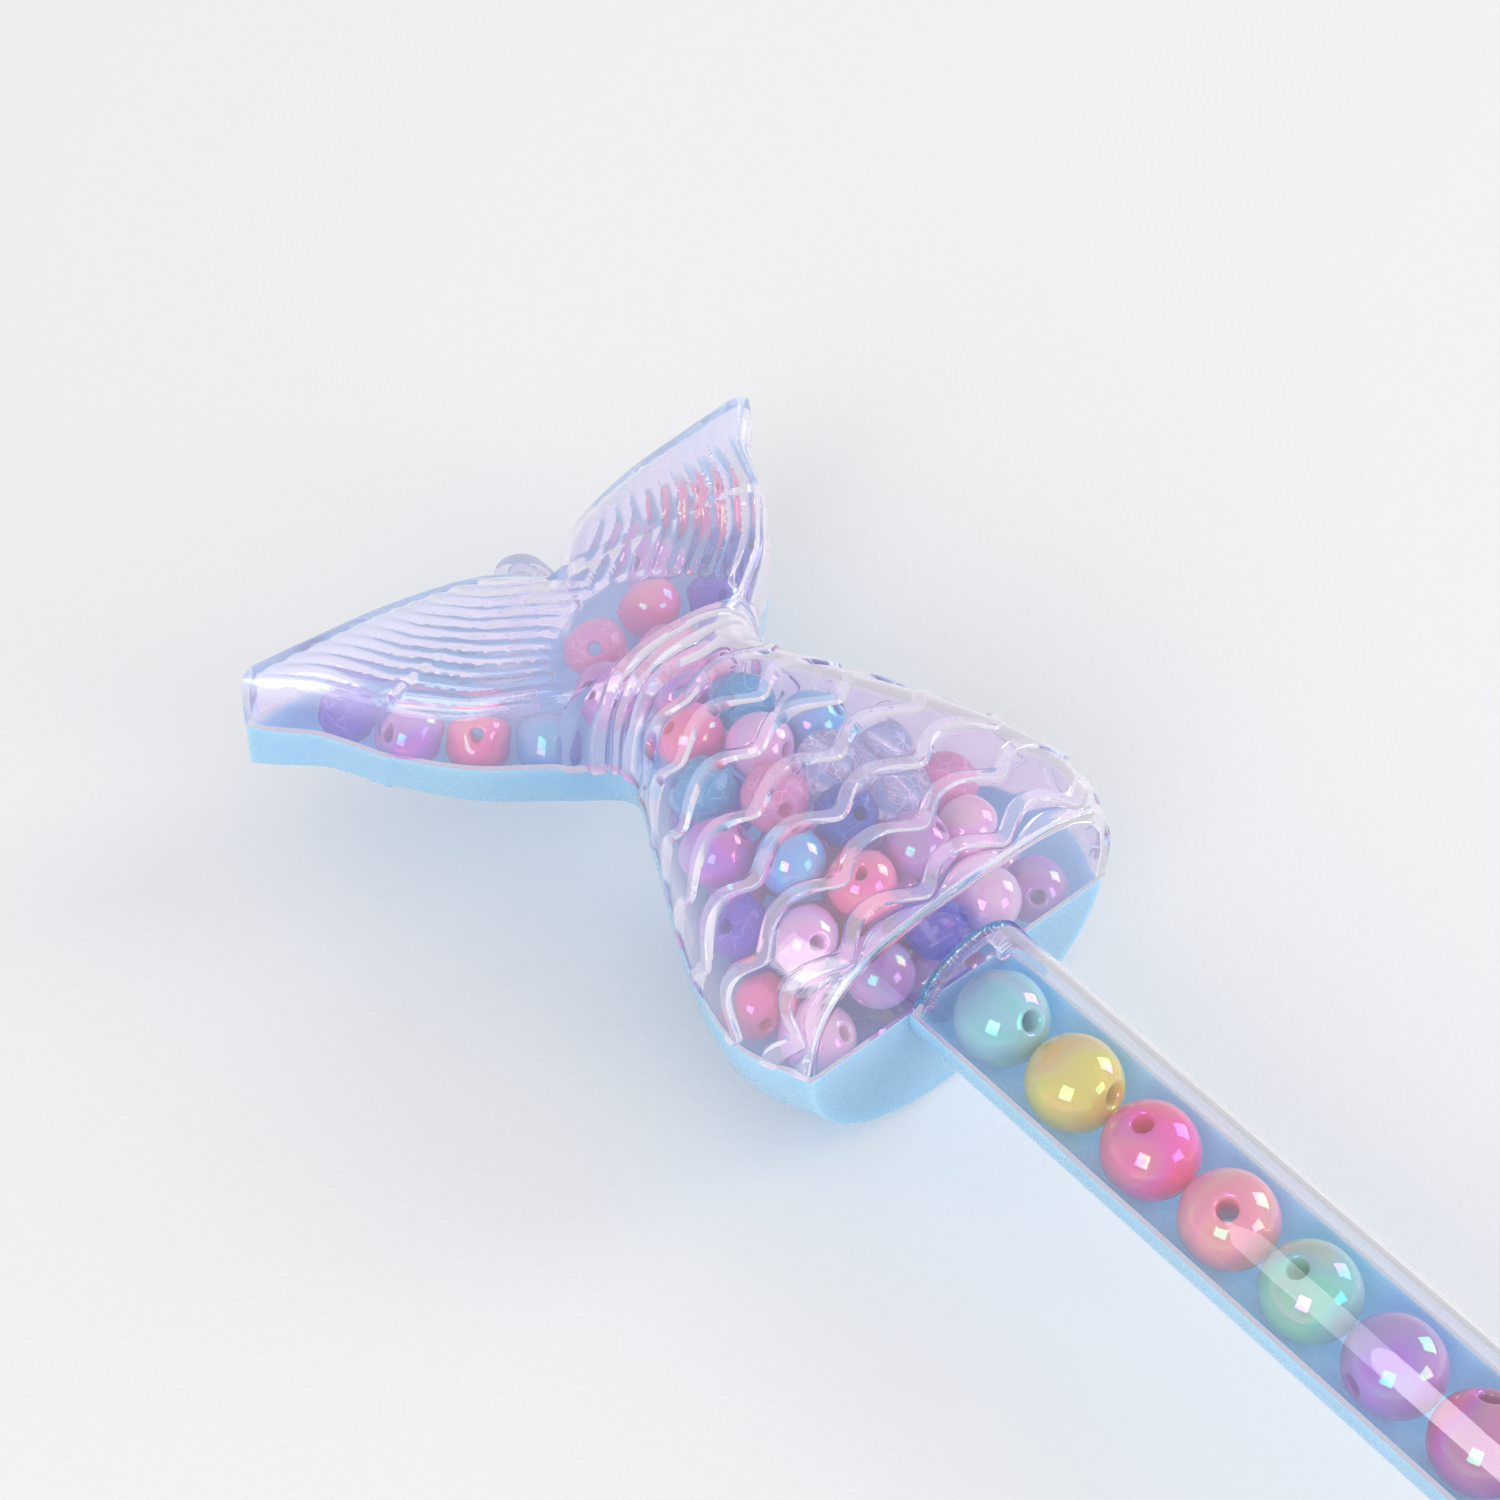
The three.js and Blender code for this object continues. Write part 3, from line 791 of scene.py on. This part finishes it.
# ---- Beads ---------------------------------------------------------------------------------
# Which way the hole of each handle bead faces: right and up as seen from the camera's side.
HOLE_FACES = [(0.58, 0.0), (0.74, -0.2), (-0.26, 0.66), (-0.18, 0.36), (-0.39, 0.6),
              (-0.9, -0.3), (0.1, 0.95), (0.4, 0.4), (-0.5, 0.1), (0.2, -0.5)]
FACETED = ("teal", "navy", "purple")
# The pile under the top layer: the room it may take, the grid of places tried and how far they
# are shaken, and the gaps kept from other beads and from the walls.
FILL = {"x": (-66, -6), "y": (-30, 30), "z": (-22, 3.5), "step": 1.1, "shake": 0.5,
        "gap": 0.12, "wall_gap": 0.3, "disorder": 1.5}
FILL_COLOURS = ["lilac", "pale_pink", "purple", "lilac", "hot_pink", "mauve", "lilac",
                "purple", "clear_bead", "sky_blue"]


def bead_piece(node, slot, radius, axis, rng):
    """Puts a finer ball in place of a CAD bead, and gives back its centre."""
    low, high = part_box(node)
    centre = ((low + high) / 2 - ORIGIN) / MM
    if slot in FACETED:
        points, faces = faceted_shape(radius, rng)
    else:
        points, faces = bead_shape(radius)
    points = turned_to(points, axis, rng.random() * 6) + np.array(centre)
    piece = mesh_piece(node + "_ball", points, faces, FINISHES[slot],
                       18 if slot in FACETED else 50)
    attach(piece, node)
    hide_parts(node)
    return np.array(centre)


def build_beads():
    """Replaces every CAD bead, and gives back the tail beads' centres and hops."""
    rng = random.Random(11)
    places = {}
    hops = {joint["child"]: joint for joint in frame["joints"]}
    for node, cad in frame["nodes"].items():
        if "_bead_" not in node:
            continue
        slot = cad.data.materials[0].name.split(".")[0]
        number = int(node.rsplit("_", 1)[1])
        if node.startswith("handle"):
            a, b = HOLE_FACES[number - 1]
            axis = seen_right * a + seen_up * b - ahead * math.sqrt(max(0.05, 1 - a * a - b * b))
            radius = HANDLE_BEAD_RADIUS
        else:
            axis = Vector([rng.uniform(-1, 1) for _ in range(3)])
            radius = TAIL_BEAD_RADIUS
        centre = bead_piece(node, slot, radius, axis, rng)
        if node.startswith("tail"):
            places[node] = centre, hops[node]["range_m"][1] / MM
    return places


def body_inside(points):
    """Which points lie within the body's cavity, by its cross-section at their place along X."""
    inside = np.ones(len(points), bool)
    for side, sign in (("top", 1), ("bottom", -1)):
        table = station_table(side, WALL, False)
        place = np.interp(-points[:, 0], -table[:, 0], np.linspace(0, 1, len(table)))
        row = look_up(table, place)
        on_side = sign * points[:, 2] > 0
        share = (np.abs(points[:, 1]) / row[:, 3]) ** row[:, 5]
        share += (np.abs(points[:, 2]) / row[:, 4]) ** row[:, 5]
        inside &= ~on_side | (share < 1)
    return inside


def build_fillers(places):
    """Beads that lie below the top layer, dropped into the tray lowest first."""
    rng = np.random.default_rng(5)
    clear = 2 * TAIL_BEAD_RADIUS + FILL["gap"]
    spots = np.mgrid[tuple(slice(*FILL[axis], FILL["step"]) for axis in "xyz")].reshape(3, -1).T
    spots = spots + rng.uniform(-FILL["shake"], FILL["shake"], spots.shape)
    spots = spots[body_inside(spots)]
    walls = [tail_skin(side, WALL)[0].reshape(-1, 3) for side in ("top", "bottom")]
    walls = np.vstack(walls + [w * [1, -1, 1] for w in walls])
    tree = KDTree(len(walls))
    for k, point in enumerate(walls):
        tree.insert(point, k)
    tree.balance()
    room = TAIL_BEAD_RADIUS + FILL["wall_gap"]
    spots = spots[[tree.find(point)[2] > room for point in spots]]
    for node, (centre, hop) in places.items():
        flat = np.hypot(spots[:, 0] - centre[0], spots[:, 1] - centre[1])
        above = np.clip(spots[:, 2], centre[2], centre[2] + hop) - spots[:, 2]
        spots = spots[np.hypot(flat, above) > clear]
    spots = spots[np.argsort(spots[:, 2] + rng.uniform(0, FILL["disorder"], len(spots)))]
    chosen = []
    while len(spots):
        chosen.append(spots[0])
        spots = spots[np.linalg.norm(spots - spots[0], axis=1) > clear]
    heaps = {}
    for centre in chosen:
        heaps.setdefault(FILL_COLOURS[rng.integers(len(FILL_COLOURS))], []).append(centre)
    points, faces = bead_shape(TAIL_BEAD_RADIUS, 28, 15)
    faces = np.array(faces)
    for slot, centres in sorted(heaps.items()):
        heap = [turned_to(points, rng.normal(size=3)) + centre for centre in centres]
        shape = np.vstack([faces + k * len(points) for k in range(len(heap))])
        piece = mesh_piece("heap_" + slot, np.vstack(heap), shape, FINISHES[slot], 50)
        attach(piece, "shell")


build_fillers(build_beads())

# ---- Stage ---------------------------------------------------------------------------------
FLOOR_REACH = 3.0
FLOOR_STEPS = 60
# Soft lights: name, direction from the object, width, height and power. They stand this far off.
WINDOWS = (
    ("window_left", (0.323, -0.835, 0.445), 0.95, 1.1, 17.0),
    ("window_right", (0.896, 0.298, 0.325), 0.8, 0.9, 8.5),
    ("window_back", (0.263, 0.876, 0.394), 0.85, 1.1, 14.2),
)
WINDOW_DISTANCE = 2.0
# Lights for the long reflections on the covers: name, the only piece lit, place along X, power.
STREAKS = (
    ("streak_tail", "scaled_cover", 60 * MM, 4.5),
    ("streak_handle", "handle_window", 165 * MM, 5.5),
)
STREAK_FROM = (0.0, -0.7, 0.71)
STREAK_DISTANCE = 0.9
STREAK_SIZE = (0.56, 0.6)


def build_stage():
    steps = FLOOR_STEPS
    side = np.linspace(-FLOOR_REACH, FLOOR_REACH, steps + 1)
    points = [(x, y, cad_low.z) for x in side for y in side]
    mesh = bpy.data.meshes.new("floor")
    mesh.from_pydata(points, [], grid_faces(steps + 1, steps + 1).tolist())
    mesh.materials.append(floor_paper())
    floor = bpy.data.objects.new("floor", mesh)
    bpy.context.scene.collection.objects.link(floor)

    world = bpy.data.worlds.new("studio")
    bpy.context.scene.world = world
    world.use_nodes = True
    sky = world.node_tree.nodes["Background"].inputs
    sky["Color"].default_value = (0.975, 0.982, 1.0, 1)
    sky["Strength"].default_value = 0.68


def softbox(name, toward, distance, width, height, power, middle, only=None):
    """A rectangular soft light in a direction from a point, facing it, for all or one piece."""
    light = bpy.data.lights.new(name, "AREA")
    light.shape = "RECTANGLE"
    light.size = width
    light.size_y = height
    light.energy = power
    lamp = bpy.data.objects.new(name, light)
    bpy.context.scene.collection.objects.link(lamp)
    way = Vector(toward).normalized()
    lamp.location = middle + way * distance
    lamp.rotation_euler = way.to_track_quat("Z", "Y").to_euler()
    light.color = (1.0, 0.985, 0.965)
    if only:
        lit = bpy.data.collections.new(name + "_lit")
        lit.objects.link(bpy.data.objects[only])
        lamp.light_linking.receiver_collection = lit


build_stage()
for name, toward, width, height, power in WINDOWS:
    softbox(name, toward, WINDOW_DISTANCE, width, height, power, ORIGIN)
for name, piece, along, power in STREAKS:
    middle = ORIGIN + Vector((along, 0, 0))
    softbox(name, STREAK_FROM, STREAK_DISTANCE, *STREAK_SIZE, power, middle, piece)

scene = bpy.context.scene
scene.view_settings.view_transform = "Standard"
scene.cycles.max_bounces = 20
scene.cycles.transmission_bounces = 20
scene.cycles.transparent_max_bounces = 24
